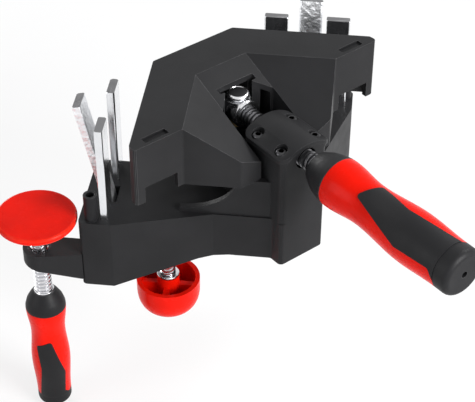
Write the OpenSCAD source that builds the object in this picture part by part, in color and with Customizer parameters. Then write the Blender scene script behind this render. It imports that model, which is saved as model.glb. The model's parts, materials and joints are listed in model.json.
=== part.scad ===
// Corner clamp for holding two boards square, in millimetres.
// Origin: inside corner of the two boards, on the board seat. Z is up.
// The clamp is symmetric about the plane x = -y; the main screw lies in it.

/* [Jaw] */
// height of the jaw roof above the board seat
jaw_top = 69; // [60:0.5:90]
// height of the jaw underside
jaw_bottom = 28; // [24:0.5:34]
// length of each clamping face, from the corner line
jaw_reach = 132.9; // [120:0.1:138]
// start of each clamping face
jaw_back = 44.4; // [38:0.1:48]
// distance of the wing end cut along the diagonal
wing_cut = 100; // [98:0.1:104]
// width of the small tip beside the end cut
tip_w = 3.8; // [3:0.1:5]
// width of the flat roof band
band = 28.4; // [24:0.1:32]
// distance of the jaw nose along the diagonal
nose_s = 124.8; // [120:0.1:128]
// start of the centre facet along the diagonal
crease_s = 59.8; // [56:0.1:62]
// slope of the side facets
facet_angle = 31.5; // [26:0.5:33]
// slope of the centre facet
centre_angle = 23.4; // [20:0.2:26]
// wall thickness
jaw_wall = 3.5; // [2.5:0.1:4.5]
// skin thickness under the facets, measured upright
jaw_skin = 4; // [3:0.1:5]
// rib thickness
jaw_rib = 3; // [2:0.1:4]
// pitch of the wing ribs
rib_pitch = 25; // [20:1:28]
// corner radius in plan
jaw_round = 2.5; // [1:0.1:3]
// half width of the channel for the column
channel_half = 20; // [19.6:0.1:22]
// half width of the window neck
neck_half = 10.8; // [10:0.1:12]
// half width of the window bar
tee_half = 14.2; // [13:0.1:16]
// length of the window bar
tee_len = 3.9; // [3:0.1:5]
// place of the notch in each wing end, from the diagonal
notch_from = 64; // [60:0.5:66]
// height of that notch
notch_h = 11; // [6:0.5:14]
// width of that notch
notch_w = 24; // [16:0.5:26]
// place of the roof slots, from the diagonal
slot_from = 67.8; // [66:0.1:70]
// distance of the roof slots from the wing end
slot_back = 2.4; // [2:0.1:4]
// length of the roof slots
slot_len = 16.7; // [12:0.1:20]
// width of the roof slots
slot_w = 5; // [3:0.1:6]
// depth of the roof slots
slot_deep = 1.6; // [1:0.1:2.4]
// thickness of the web that carries the pin bush
web_t = 7; // [5:0.1:7.4]
// outer radius of the pin bush
jaw_bush_r = 6.6; // [6:0.1:8]

/* [Base] */
// outer end of each leg
leg_end = 36.5; // [34:0.1:42]
// front edge of each leg
leg_front = 124; // [120:0.1:126]
// back edge of each leg
leg_back = 59; // [54:0.1:62]
// front wall of the deck
deck_front = 106; // [102:0.1:110]
// back edge of the deck along the diagonal
deck_s = 52; // [46:0.1:56]
// end of the straight leg front
flare_from = -16; // [-20:0.1:-8]
// end of the flare
flare_to = 45; // [38:0.1:52]
// depth of the body at the column
body_deep = 32; // [28:0.5:36]
// depth of the body at the leg ends
leg_deep = 50; // [44:0.5:56]
// easing of the bend in the underside
bend_drop = 1.4; // [0.5:0.1:2]
// wall thickness
base_wall = 3.6; // [3:0.1:5]
// thickness of the deck
deck_t = 5; // [4:0.1:7]
// rib thickness
base_rib = 3; // [2.4:0.1:4]
// pitch of the ribs
base_pitch = 25; // [20:1:28]
// corner radius in plan
base_round = 3; // [1:0.1:4]
// back face of the column
column_from = 105; // [103:0.1:108]
// front face of the column
column_to = 142; // [139:0.1:144]
// half width of the column
column_half = 17.5; // [16.5:0.1:17.8]
// top of the column
column_top = 47; // [46:0.1:49]
// corner radius of the column in plan
column_round = 4; // [2:0.1:5]
// height of the slide rails
rail_h = 27.5; // [20:0.1:27.7]
// inner edge of the slide rails
rail_in = 10; // [9:0.1:12]
// outer edge of the slide rails
rail_out = 22; // [18:0.1:26]
// back end of the slide rails
rail_from = 63; // [56:0.5:70]
// thickness of the curved gussets
gusset_t = 4; // [3:0.1:6]
// start of the gusset curve
gusset_from = 24; // [18:0.5:30]
// end of the gusset curve
gusset_to = 59.5; // [50:0.5:64]
// set-back of the gussets behind the front wall
gusset_back = 1; // [0.5:0.1:2]
// step at the foot of the gusset curve
gusset_step = 3; // [1:0.1:5]

/* [Lug] */
// place of the support screw, x
pad_x = -63.5; // [-68:0.1:-63]
// place of the support screw, y
pad_y = -119; // [-120:0.1:-112]
// radius of the lug end
lug_r = 10.5; // [9.5:0.1:14]
// top of the lug
lug_top = -26; // [-30:0.1:-24]
// underside of the lug at its round end
lug_low = -38; // [-42:0.1:-34]
// underside of the lug at the leg
lug_root = -46; // [-48:0.1:-43]
// outer radius of the lug bush
lug_bush_r = 7.6; // [7:0.1:8.5]
// length of the lug bush below the lug top
lug_bush_len = 12; // [10:0.1:12]

/* [Stop bars] */
// width of a bar
bar_w = 15.3; // [12:0.1:16]
// thickness of a bar
bar_t = 5; // [4:0.1:5.6]
// outer distance of the bar centre planes
bar_x = 20.9; // [20:0.1:24]
// centre of the front bar
bar_front = 111.7; // [110:0.1:113]
// centre of the tilting bar
bar_mid = 92.9; // [90:0.1:94]
// centre of the rear bar
bar_rear = 71.3; // [70:0.1:74]
// height of the fixed bars
bar_top = 67; // [55:0.5:80]
// depth of the bar feet
bar_foot = 18; // [14:0.5:22]
// depth of the cross pin
pivot_z = 8; // [6:0.1:10]
// length of the tilting bar above the cross pin
tilt_len = 79.8; // [60:0.1:90]
// length of the tilting bar below the cross pin
tilt_foot = 5.5; // [4:0.1:7]
// lean of the tilting bar at rest
tilt_angle = 12; // [6:0.5:13]
// radius of the cross pin
bar_pin_r = 1.5; // [1:0.1:1.7]
// place of the post, away from the corner
post_x = 28.7; // [28.4:0.1:31]
// place of the post, along the leg
post_y = 118.6; // [116:0.1:119]
// outer radius of the post
post_r = 4.3; // [3.5:0.1:4.5]
// radius of the post socket
post_bore = 2.6; // [2:0.1:3]
// height of the post
post_h = 19; // [12:0.5:26]
// length of the post spigot in the leg
post_spigot = 8; // [5:0.5:12]

/* [Main screw] */
// height of the screw axis
axis_z = 45; // [44.5:0.1:46.5]
// place of the swivel pin along the diagonal
pin_s = 77; // [76:0.1:78.5]
// outer radius of the spindle thread
thread_r = 6; // [5:0.1:6.4]
// radial room around the spindle in the column
bore_room = 1.3; // [1:0.1:1.6]
// radius of the spindle journal
journal_r = 5; // [4:0.1:5.6]
// length of the spindle journal
journal_len = 4.6; // [3:0.1:6]
// outer radius of the swivel eye
eye_r = 8.3; // [7.6:0.1:8.6]
// radius of the ring at the front of the eye
eye_ring_r = 9.1; // [8.4:0.1:9.4]
// width of that ring
eye_ring_w = 4; // [2:0.1:5]
// length of the eye behind the pin
eye_back = 8.5; // [7:0.1:9.5]
// length of the eye in front of the pin
eye_front = 10; // [9.5:0.1:12]
// height of the flat on the eye
eye_flat = 7.6; // [6.5:0.1:8]
// radius of the swivel pin
pin_r = 4.5; // [3.5:0.1:4.8]
// radius of the pin head
pin_head_r = 7.1; // [6.2:0.1:7.4]
// thickness of the pin head
pin_head_t = 4; // [3:0.1:4.5]
// radius of the washer under the head
washer_r = 7.9; // [7.2:0.1:8.3]
// thickness of that washer
washer_t = 1; // [0.6:0.1:1.4]
// radius of the pin clip
clip_r = 7; // [6:0.1:8]
// thickness of the pin clip
clip_t = 1.2; // [0.8:0.1:1.6]
// length of the pin below the clip
pin_end = 1.5; // [1:0.1:3]
// radius of the spindle nut
nut_r = 9; // [8:0.1:9.4]
// half width of the spindle nut over its flats
nut_half = 7.8; // [7:0.1:8]
// length of the spindle nut
nut_len = 20; // [14:0.5:24]
// front end of the cap along the diagonal
cap_to = 143; // [142.5:0.1:144]
// half width of the cap
cap_half = 18; // [17.8:0.1:18.3]
// corner radius of the cap in plan
cap_round = 5; // [2:0.1:6]
// crown of the cap
cap_top = 56; // [55.5:0.1:58]
// arch radius of the cap
cap_arch = 29; // [26:0.5:60]
// half spacing of the cap screws across
screw_t = 13.2; // [12.6:0.1:13.4]
// place of the rear cap screws
screw_rear = 113.2; // [111:0.1:114]
// place of the front cap screws
screw_front = 134.9; // [133:0.1:136]
// radius of the screw heads
screw_head_r = 3.7; // [3:0.1:3.8]
// thickness of the screw heads
screw_head_t = 2.6; // [2:0.1:3]
// radial room around the screw heads
screw_room = 0.3; // [0.2:0.1:0.6]
// thickness of cap left under the heads
screw_floor = 2.4; // [1.5:0.1:2.6]
// radius of the screw shanks
screw_r = 2.2; // [1.5:0.1:2.6]
// length of the screw shanks
screw_len = 16; // [10:0.5:20]

/* [Main handle] */
// front of the handle along the diagonal
handle_s = 150.5; // [149:0.1:152]
// length of the handle
handle_len = 124.5; // [110:0.5:140]
// length of the black collar
collar_len = 22; // [18:0.5:25]
// length of the end cap
end_len = 10; // [7:0.5:13]
// radius at the front
handle_front_r = 10; // [8.6:0.1:11]
// radius at the shoulder
handle_shoulder_r = 16; // [14.5:0.1:18]
// radius at the neck
handle_neck_r = 13.7; // [12.5:0.1:15]
// radius at the swell
handle_swell_r = 16.3; // [15:0.1:18]
// radius at the start of the end cap
handle_end_r = 15; // [13.5:0.1:16]
// rounding of the end cap
end_round = 4; // [2:0.1:5]
// radius of the hole in the end cap
end_hole_r = 2; // [1:0.1:3]
// depth of that hole
end_hole_deep = 4; // [2:0.5:6]
// radius of the spindle tang in the handle
tang_r = 4.5; // [3.5:0.1:5]
// turn of the grip inlay about the axis
grip_turn = 219.7; // [180:0.1:270]
// half width of the grip inlay
grip_half = 12; // [9:0.1:12.4]
// thickness of the grip inlay
grip_t = 1.6; // [1:0.1:2]
// corner radius of the grip inlay
grip_round = 2; // [1:0.1:3]
// height of the grip inlay above the handle
grip_proud = 0.4; // [0.2:0.1:0.8]

/* [Support screw] */
// radius of the pad
pad_r = 25.5; // [20:0.1:28]
// top of the pad
pad_top = 0; // [-4:0.1:6]
// rim thickness of the pad
pad_rim = 5; // [3.5:0.1:6]
// bevel of the pad's upper edge
pad_edge = 1; // [0.5:0.1:1.5]
// bevel of the pad's lower edge
pad_edge_low = 1.5; // [0.8:0.1:2]
// radius of the pad hub
pad_hub_r = 9.5; // [9:0.1:12]
// height of the pad with its hub
pad_h = 13; // [12.6:0.1:15]
// depth of the ball centre below the pad top
ball_deep = 9; // [8.8:0.1:9.6]
// radius of the ball
ball_r = 6; // [5.4:0.1:6.2]
// radius of the neck below the ball
ball_neck_r = 4; // [3:0.1:4.2]
// thickness of the ring below the pad
pad_ring_t = 2.6; // [1.6:0.1:3]
// outer radius of the support spindle
pad_thread_r = 5.6; // [4.6:0.1:5.8]
// front of the handle
pad_handle_z = -62; // [-66:0.5:-61]
// length of the handle
pad_handle_len = 98; // [85:0.5:110]
// length of the black collar
pad_collar_len = 14.3; // [10:0.1:15]
// length of the end cap
pad_end_len = 8.5; // [6:0.1:11]
// radius at the front
pad_front_r = 6.9; // [6.5:0.1:9]
// radius at the shoulder
pad_shoulder_r = 13.1; // [12:0.1:15]
// radius at the neck
pad_neck_r = 11.2; // [10:0.1:12]
// radius at the swell
pad_swell_r = 12.8; // [11.8:0.1:14]
// radius at the start of the end cap
pad_end_r = 11.3; // [10:0.1:12.5]
// rounding of the end cap
pad_end_round = 3; // [1.5:0.1:4]
// radius of the spindle tang in the handle
pad_tang_r = 4; // [3:0.1:4.4]
// turn of the grip inlay about the axis
pad_grip_turn = -72; // [-120:0.5:0]
// half width of the grip inlay
pad_grip_half = 8.6; // [7:0.1:9.5]

/* [Hand knob] */
// place of the knob, x
knob_x = 12; // [8:0.1:16]
// place of the knob, y
knob_y = -85.5; // [-88:0.1:-82]
// radius of the knob rim
knob_r = 21; // [18:0.1:23]
// height of the straight wall below the rim
knob_straight = 6; // [3:0.5:9]
// height of the rim
knob_rim_z = -73.5; // [-76:0.5:-72.5]
// underside of the knob
knob_low = -99.5; // [-104:0.5:-98]
// wall of the knob
knob_wall = 3; // [2:0.1:4]
// radius of the hub
knob_hub_r = 7.5; // [6.5:0.1:9]
// top of the hub
knob_hub_z = -71; // [-74:0.5:-69]
// rib thickness
knob_rib = 4; // [3:0.1:5]
// depth of the ribs below the rim
knob_rib_low = 4.5; // [2:0.1:6]
// radius of the stud
stud_r = 5; // [4:0.1:5.6]
// top of the stud
stud_top = -28; // [-32:0.5:-28]
// radius of the washer on the hub
knob_washer_r = 9; // [8:0.1:10]
// thickness of that washer
knob_washer_t = 1.5; // [1:0.1:2]
// outer radius of the bush in the leg
knob_bush_r = 8; // [7:0.1:9]
// depth of the bush top below the seat
knob_bush_top = -24; // [-27:0.5:-22]
// wall around the bush
boss_wall = 3.4; // [3:0.1:5]

/* [Fits] */
// radial running clearance
run = 0.06; // [0.03:0.01:0.1]
// clearance between moving bodies
gap = 0.5; // [0.4:0.05:0.8]

/* [Hidden] */
$fn = 64;
eps = 0.01;
far = 400;
// length step of the handle surfaces
station = 4;
root2 = sqrt(2);
charcoal = [0.16, 0.16, 0.17];
black = [0.07, 0.07, 0.075];
red = [0.78, 0.05, 0.03];
steel = [0.72, 0.73, 0.75];
brass = [0.72, 0.56, 0.26];

// plan helpers; outlines run anticlockwise
function unit(v) = v / norm(v);
function flip(p) = [-p[1], -p[0]];
function both(pts) = concat(pts, [for (i = [len(pts) - 1 : -1 : 0]) flip(pts[i])]);
function inward(a, b) = [a[1] - b[1], b[0] - a[0]] / norm(b - a);
function prev(pts, i) = pts[(i + len(pts) - 1) % len(pts)];
function next(pts, i) = pts[(i + 1) % len(pts)];
function inset(pts, d) = [for (i = [0 : len(pts) - 1])
    let (m = inward(prev(pts, i), pts[i]), k = inward(pts[i], next(pts, i)))
    pts[i] + d * (m + k) / (1 + m * k)];
function short_turn(a) = a > 180 ? a - 360 : a < -180 ? a + 360 : a;
function corner(a, b, c, r) =
    let (u = unit(a - b), w = unit(c - b), half = acos(u * w) / 2,
         fit = min(r, 0.45 * min(norm(a - b), norm(c - b)) * tan(half)),
         o = b + unit(u + w) * fit / sin(half),
         p = b + u * fit / tan(half) - o, q = b + w * fit / tan(half) - o,
         from = atan2(p[1], p[0]), sweep = short_turn(atan2(q[1], q[0]) - from))
    [for (k = [0 : 4]) o + fit * [cos(from + sweep * k / 4), sin(from + sweep * k / 4)]];
function rounded(pts, r) = [for (i = [0 : len(pts) - 1])
    each corner(prev(pts, i), pts[i], next(pts, i), r)];
// plan point from a place along and across the diagonal
function on_diag(s, t) = [(s + t) / root2, (t - s) / root2];

// handle radius by length: quarter sine, then cosine blends
function span(h, hs, i = 0) = i >= len(hs) - 2 || h < hs[i + 1] ? i : span(h, hs, i + 1);
function handle_r(h, hs, rs) =
    let (i = span(h, hs), k = (h - hs[i]) / (hs[i + 1] - hs[i]))
    rs[i] + (rs[i + 1] - rs[i]) * (i == 0 ? sin(90 * k) : (1 - cos(180 * k)) / 2);
// heights shared by the turned pieces of a handle, so that their surfaces meet
function stations(from, to) = concat([from],
    [for (i = [ceil(from / station + 0.3) : floor(to / station - 0.3)]) i * station], [to]);
function profile(hs, rs, from, to, grow = 0) =
    [for (h = stations(from, to)) [handle_r(h, hs, rs) + grow, h]];

grip_from = 0.37 * handle_len;
grip_to = handle_len - end_len;
pad_grip_from = 0.38 * pad_handle_len;
pad_grip_to = pad_handle_len - pad_end_len;
main_hs = [0, collar_len + 2, 0.39 * handle_len, 0.69 * handle_len, grip_to];
main_rs = [handle_front_r, handle_shoulder_r, handle_neck_r, handle_swell_r, handle_end_r];
pad_hs = [0, pad_collar_len - 0.7, 0.35 * pad_handle_len, 0.6 * pad_handle_len, pad_grip_to];
pad_rs = [pad_front_r, pad_shoulder_r, pad_neck_r, pad_swell_r, pad_end_r];

tip_y = -(wing_cut * root2 - tip_w);
front_y = -(wing_cut * root2 - band);
nose_x = nose_s * root2 + front_y;
jaw_plan = both([[0, -jaw_back], [0, -jaw_reach], [tip_w, tip_y], [band, front_y], [nose_x, front_y]]);
tee_from = pin_s - tee_len + 0.2;
neck_from = pin_s + 0.8;
channel_from = neck_from + channel_half - neck_half;
pocket_from = pin_s - eye_back - 4;
rib_low = jaw_bottom + notch_h / 2;

column_corner = on_diag(column_to, -column_half);
base_plan = both([[deck_s * root2 - leg_back, -leg_back], [-leg_end, -leg_back], [-leg_end, -leg_front],
    [flare_from, -leg_front], [flare_to, -deck_front],
    [deck_front - column_half * root2, -deck_front], column_corner]);
leg_slope = atan((leg_deep - body_deep) / (flare_to - flare_from));
cap_from = column_from;
nut_from = (column_from + column_to - nut_len) / 2;
bore_r = thread_r + bore_room;
seat_z = axis_z + eye_flat;
screw_seat = column_top + screw_floor;
eye_bore_from = pin_s + eye_front - journal_len - 0.2;
thread_from = pin_s + eye_front + gap;
clip_z = jaw_bottom - 0.4 - clip_t;
knob_floor = knob_low + knob_wall;
tilt_slot_out = bar_x + bar_t / 2 + pivot_z * tan(tilt_angle) + 1;
tilt_slot_in = bar_x - bar_t / 2 - tilt_foot * tan(tilt_angle) - 0.7;
tilt_slot_deep = pivot_z + tilt_foot + 1;

// frames
module right_side() mirror([1, 1, 0]) children();
module sides() { children(); right_side() children(); }
module sides_common() intersection() { children(); right_side() children(); }
module diag() rotate([0, 0, -45]) children();
module along_main(s) diag() translate([s, 0, axis_z]) rotate([0, 90, 0]) children();
module at_pad(z) translate([pad_x, pad_y, z]) children();
module at_knob(z) translate([knob_x, knob_y, z]) children();

// space above a plane that falls along +x from the given place
module above(x, z, angle) translate([x, 0, z]) rotate([0, angle, 0])
    translate([-far, -far, 0]) cube([2 * far, 2 * far, far]);
// prism over a plan, cut off by the three roof facets
module under_roof(pts, from, drop) difference() {
    translate([0, 0, from]) linear_extrude(jaw_top - drop - from) polygon(pts);
    intersection() {
        above(band, jaw_top - drop, facet_angle);
        right_side() above(band, jaw_top - drop, facet_angle);
        diag() above(crease_s, jaw_top - drop, centre_angle);
    }
}
// plate in the diagonal frame, from plan outline to heights
module diag_slab(s0, s1, half, z0, z1) diag()
    translate([s0, -half, z0]) cube([s1 - s0, 2 * half, z1 - z0]);
module diag_pair(s0, s1, t0, t1, z0, z1) diag() for (m = [0, 1]) mirror([0, m, 0])
    translate([s0, t0, z0]) cube([s1 - s0, t1 - t0, z1 - z0]);

module jaw_ribs() {
    diag_pair(pocket_from, nose_s, channel_half - 1, channel_half + jaw_wall, jaw_bottom, jaw_top);
    diag_pair(pocket_from, channel_from, neck_half, neck_half + jaw_wall, jaw_bottom, jaw_top);
    diag_slab(pocket_from - jaw_wall, pocket_from, channel_half + jaw_wall, jaw_bottom, jaw_top);
    diag_slab(pocket_from - 1, channel_from + 1, neck_half + 1, jaw_bottom, jaw_bottom + web_t);
    sides() for (y = [front_y + jaw_wall : rib_pitch : -jaw_back])
        translate([0, y - jaw_rib, rib_low]) cube([-y - (channel_half + jaw_wall / 2) * root2, jaw_rib, jaw_top]);
    sides() translate([band - jaw_rib - 1, -jaw_reach, rib_low]) cube([jaw_rib, jaw_reach - band, jaw_top]);
}
function window_side(sign) = [[tee_from, sign * tee_half], [tee_from + tee_len, sign * tee_half],
    [tee_from + tee_len, sign * neck_half], [neck_from, sign * neck_half],
    [channel_from, sign * channel_half], [far, sign * channel_half]];
function backwards(pts) = [for (i = [len(pts) - 1 : -1 : 0]) pts[i]];
module jaw_window() diag() {
    translate([0, 0, jaw_bottom + web_t]) linear_extrude(far)
        polygon(concat(window_side(-1), backwards(window_side(1))));
    translate([channel_from, -channel_half, 0]) cube([far, 2 * channel_half, far]);
}
module jaw_hood() color(charcoal) difference() {
    under_roof(rounded(jaw_plan, jaw_round), jaw_bottom, 0);
    difference() {
        under_roof(inset(jaw_plan, jaw_wall), jaw_bottom - 1, jaw_skin);
        jaw_ribs();
    }
    jaw_window();
    diag() for (m = [0, 1]) mirror([0, m, 0]) {
        translate([wing_cut - jaw_wall - 1, notch_from, jaw_bottom - 1]) cube([jaw_wall + 2, notch_w, notch_h + 1]);
        translate([wing_cut - slot_w - slot_back, slot_from, jaw_top - slot_deep]) cube([slot_w, slot_len, far]);
    }
    diag() translate([pin_s, 0, jaw_bottom - 1]) cylinder(r = jaw_bush_r, h = web_t + 2);
}
module jaw_bush() color(brass) diag() translate([pin_s, 0, jaw_bottom]) difference() {
    cylinder(r = jaw_bush_r, h = web_t);
    translate([0, 0, -1]) cylinder(r = pin_r + run, h = web_t + 2);
}

module bar_block(y, w, h, side) translate([-bar_x - bar_t / 2 - side, -y - w / 2 - side, -h])
    cube([bar_t + 2 * side, w + 2 * side, h + far]);
module base_ribs() {
    sides() for (x = [-leg_end + base_pitch : base_pitch : flare_to + base_pitch])
        translate([x - base_rib / 2, -leg_front, -far]) cube([base_rib, leg_front, far]);
    sides() for (y = [leg_back + base_pitch : base_pitch : leg_front])
        translate([-leg_end, -y - base_rib / 2, -far]) cube([leg_end + flare_to + base_pitch, base_rib, far]);
    sides() translate([-tilt_slot_out - base_wall, -leg_front, -bar_foot - base_wall])
        cube([tilt_slot_out - tilt_slot_in + 2 * base_wall, leg_front - leg_back, far]);
    sides() translate([-post_x, -post_y, -post_spigot - base_wall]) cylinder(r = post_r + base_wall, h = far);
    at_knob(-far) cylinder(r = knob_bush_r + boss_wall, h = far);
    diag_pair(column_from - base_rib, column_to, column_half - base_wall, column_half, -far, 0);
    diag_slab(column_from - base_wall, column_from, column_half, -far, 0);
    diag_slab(deck_s, column_to, base_rib / 2, -far, 0);
}
module below(x, z, angle) translate([x, 0, z]) rotate([0, angle, 0])
    translate([-far, -far, -far]) cube([2 * far, 2 * far, far]);
module body_block() difference() {
    translate([0, 0, -leg_deep]) linear_extrude(leg_deep) polygon(rounded(base_plan, base_round));
    intersection() {
        translate([-far, -far, -far - body_deep]) cube([2 * far, 2 * far, far]);
        sides_common() below(flare_to, -body_deep, -leg_slope);
        sides_common() below(flare_to, -body_deep - bend_drop, -leg_slope / 2);
    }
    difference() {
        translate([0, 0, -far]) linear_extrude(far - deck_t) polygon(inset(base_plan, base_wall));
        base_ribs();
    }
}
module gusset() translate([0, -deck_front + gusset_back + gusset_t, 0]) rotate([90, 0, 0]) linear_extrude(gusset_t)
    polygon(concat([[gusset_from, 0]],
        [for (a = [0 : 7.5 : 90]) [gusset_from + (gusset_to - gusset_from) * sin(a),
            rail_h - (rail_h - gusset_step) * cos(a)]],
        [[deck_front - column_half * root2 + 2, rail_h], [deck_front - column_half * root2 + 2, 0]]));
module lug() {
    difference() {
        union() {
            at_pad(lug_root) cylinder(r = lug_r, h = lug_top - lug_root);
            translate([0, 0, lug_root]) linear_extrude(lug_top - lug_root)
                polygon([[pad_x, pad_y - lug_r], [-leg_end + 1, -leg_front], [-leg_end + 1, pad_y + lug_r],
                    [pad_x, pad_y + lug_r]]);
        }
        translate([-leg_end, 0, lug_root]) rotate([0, atan((lug_low - lug_root) / (-leg_end - pad_x)), 0])
            translate([-far, -far, -far]) cube([far, far, far]);
        at_pad(-far) cylinder(r = lug_bush_r, h = far);
    }
}
module column() difference() {
    diag() linear_extrude(column_top) polygon(rounded([[column_from, -column_half],
        [column_to, -column_half], [column_to, column_half], [column_from, column_half]], column_round));
    diag() for (x = [column_from + base_wall, (column_from + column_to + base_rib) / 2])
        translate([x, -column_half + base_wall, -eps])
            cube([(column_to - column_from - 2 * base_wall - base_rib) / 2,
                2 * (column_half - base_wall), axis_z - nut_r - 8]);
}
module nut_shape(grow) rotate([90, 0, 90]) linear_extrude(nut_len + 2 * grow, center = true)
    intersection() {
        circle(r = nut_r + grow);
        square([2 * (nut_half + grow), 4 * nut_r], center = true);
    }
module screw_bores(grow) diag() for (s = [screw_rear, screw_front], t = [-screw_t, screw_t])
    translate([s, t, screw_seat - screw_len]) cylinder(r = screw_r + grow, h = screw_len);
module spindle_way() {
    along_main(column_from - 5) cylinder(r = bore_r, h = column_to - column_from + 12);
    diag() translate([nut_from + nut_len / 2, 0, axis_z]) nut_shape(0);
}
module base_frame() color(charcoal) difference() {
    union() {
        body_block();
        column();
        diag_pair(rail_from, column_from + 1, rail_in, rail_out, 0, rail_h);
        sides() gusset();
        lug();
    }
    spindle_way();
    screw_bores(0);
    sides() {
        bar_block(bar_front, bar_w, bar_foot, 0);
        bar_block(bar_rear, bar_w, bar_foot, 0);
        translate([-tilt_slot_out, -bar_mid - bar_w / 2 - gap, -tilt_slot_deep])
            cube([tilt_slot_out - tilt_slot_in, bar_w + 2 * gap, far]);
        translate([-bar_x, -leg_back + 1, -pivot_z]) rotate([90, 0, 0])
            cylinder(r = bar_pin_r, h = leg_front - leg_back - base_wall + 1);
        translate([-post_x, -post_y, -post_spigot]) cylinder(r = post_bore, h = far);
    }
    at_knob(-far) cylinder(r = knob_bush_r, h = far + knob_bush_top);
    at_knob(-far) cylinder(r = stud_r + gap, h = far - deck_t - 1);
}
module nut_cap() color(charcoal) difference() {
    intersection() {
        diag() translate([0, 0, column_top]) linear_extrude(cap_top - column_top)
            polygon(rounded([[cap_from, -cap_half], [cap_to, -cap_half], [cap_to, cap_half],
                [cap_from, cap_half]], cap_round));
        diag() translate([cap_from - 1, 0, cap_top - cap_arch]) rotate([0, 90, 0])
            cylinder(r = cap_arch, h = cap_to - cap_from + 2, $fn = 128);
    }
    spindle_way();
    screw_bores(0);
    diag() for (s = [screw_rear, screw_front], t = [-screw_t, screw_t])
        translate([s, t, screw_seat]) cylinder(r = screw_head_r + screw_room, h = far);
}
module cap_screws() color(steel) {
    screw_bores(0);
    diag() for (s = [screw_rear, screw_front], t = [-screw_t, screw_t])
        translate([s, t, screw_seat]) cylinder(r = screw_head_r, h = screw_head_t);
}
module spindle_nut() color(brass) difference() {
    diag() translate([nut_from + nut_len / 2, 0, axis_z]) nut_shape(0);
    along_main(nut_from - 1) cylinder(r = thread_r + run, h = nut_len + 2);
}

module fixed_bar(y) color(steel) difference() {
    intersection() {
        bar_block(y, bar_w, bar_foot, 0);
        translate([-far, -far, -far]) cube([2 * far, 2 * far, far + bar_top]);
    }
    bar_pin_bore(0);
}
module bar_pin_bore(grow) translate([-bar_x, -leg_back, -pivot_z]) rotate([90, 0, 0])
    cylinder(r = bar_pin_r + grow, h = leg_front - leg_back);
module front_bar_left() fixed_bar(bar_front);
module rear_bar_left() fixed_bar(bar_rear);
module front_bar_right() right_side() fixed_bar(bar_front);
module rear_bar_right() right_side() fixed_bar(bar_rear);
module tilt_bar() color(steel) translate([-bar_x, -bar_mid, -pivot_z]) rotate([0, -tilt_angle, 0]) difference() {
    translate([-bar_t / 2, -bar_w / 2, -tilt_foot]) cube([bar_t, bar_w, tilt_foot + tilt_len]);
    rotate([90, 0, 0]) cylinder(r = bar_pin_r + run, h = 2 * bar_w, center = true);
}
module tilt_bar_left() tilt_bar();
module tilt_bar_right() right_side() tilt_bar();
module bar_pin() color(steel) translate([-bar_x, -leg_back - 1, -pivot_z]) rotate([90, 0, 0])
    cylinder(r = bar_pin_r, h = leg_front - leg_back - base_wall - 1);
module bar_pin_left() bar_pin();
module bar_pin_right() right_side() bar_pin();
module post() color(black) translate([-post_x, -post_y, 0]) difference() {
    union() {
        cylinder(r = post_r, h = post_h);
        translate([0, 0, -post_spigot]) cylinder(r = post_bore, h = post_spigot);
    }
    translate([0, 0, post_h / 3]) cylinder(r = post_bore, h = post_h);
}
module post_left() post();
module post_right() right_side() post();
module lug_bush() color(brass) at_pad(lug_top - lug_bush_len) difference() {
    cylinder(r = lug_bush_r, h = lug_bush_len);
    translate([0, 0, -1]) cylinder(r = pad_thread_r + run, h = lug_bush_len + 2);
}
module knob_bush() color(brass) difference() {
    intersection() {
        at_knob(knob_bush_top - leg_deep) cylinder(r = knob_bush_r, h = leg_deep);
        above_slope();
    }
    at_knob(-far) cylinder(r = stud_r + run, h = far);
}
// space above the sloping underside of the left leg
module above_slope() translate([flare_to, 0, -body_deep]) rotate([0, -leg_slope, 0])
    translate([-far, -far, 0]) cube([2 * far, 2 * far, far]);

module swivel_eye() color(steel) difference() {
    union() {
        along_main(pin_s - eye_back) cylinder(r = eye_r, h = eye_back + eye_front);
        along_main(pin_s + eye_front - eye_ring_w) cylinder(r = eye_ring_r, h = eye_ring_w);
    }
    diag() translate([pin_s - washer_r - 0.2, -far, seat_z]) cube([2 * washer_r + 0.4, 2 * far, far]);
    diag() translate([pin_s, 0, 0]) cylinder(r = pin_r, h = far);
    along_main(eye_bore_from) cylinder(r = journal_r + run, h = far);
}
module swivel_pin() color(steel) diag() translate([pin_s, 0, 0]) {
    translate([0, 0, clip_z - pin_end]) cylinder(r = pin_r, h = seat_z + washer_t - clip_z + pin_end);
    translate([0, 0, seat_z + washer_t]) cylinder(r = pin_head_r, h = pin_head_t);
}
module swivel_washer() color(steel) diag() translate([pin_s, 0, seat_z]) difference() {
    cylinder(r = washer_r, h = washer_t);
    translate([0, 0, -1]) cylinder(r = pin_r, h = washer_t + 2);
}
module pin_clip() color(steel) diag() translate([pin_s, 0, clip_z]) difference() {
    cylinder(r = clip_r, h = clip_t);
    translate([0, 0, -1]) cylinder(r = pin_r, h = clip_t + 2);
}

// solid of revolution between two places on a handle
module turned(hs, rs, from, to, bore, grow = 0) rotate_extrude()
    polygon(concat([[bore, from]], profile(hs, rs, from, to, grow), [[bore, to]]));
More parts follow.
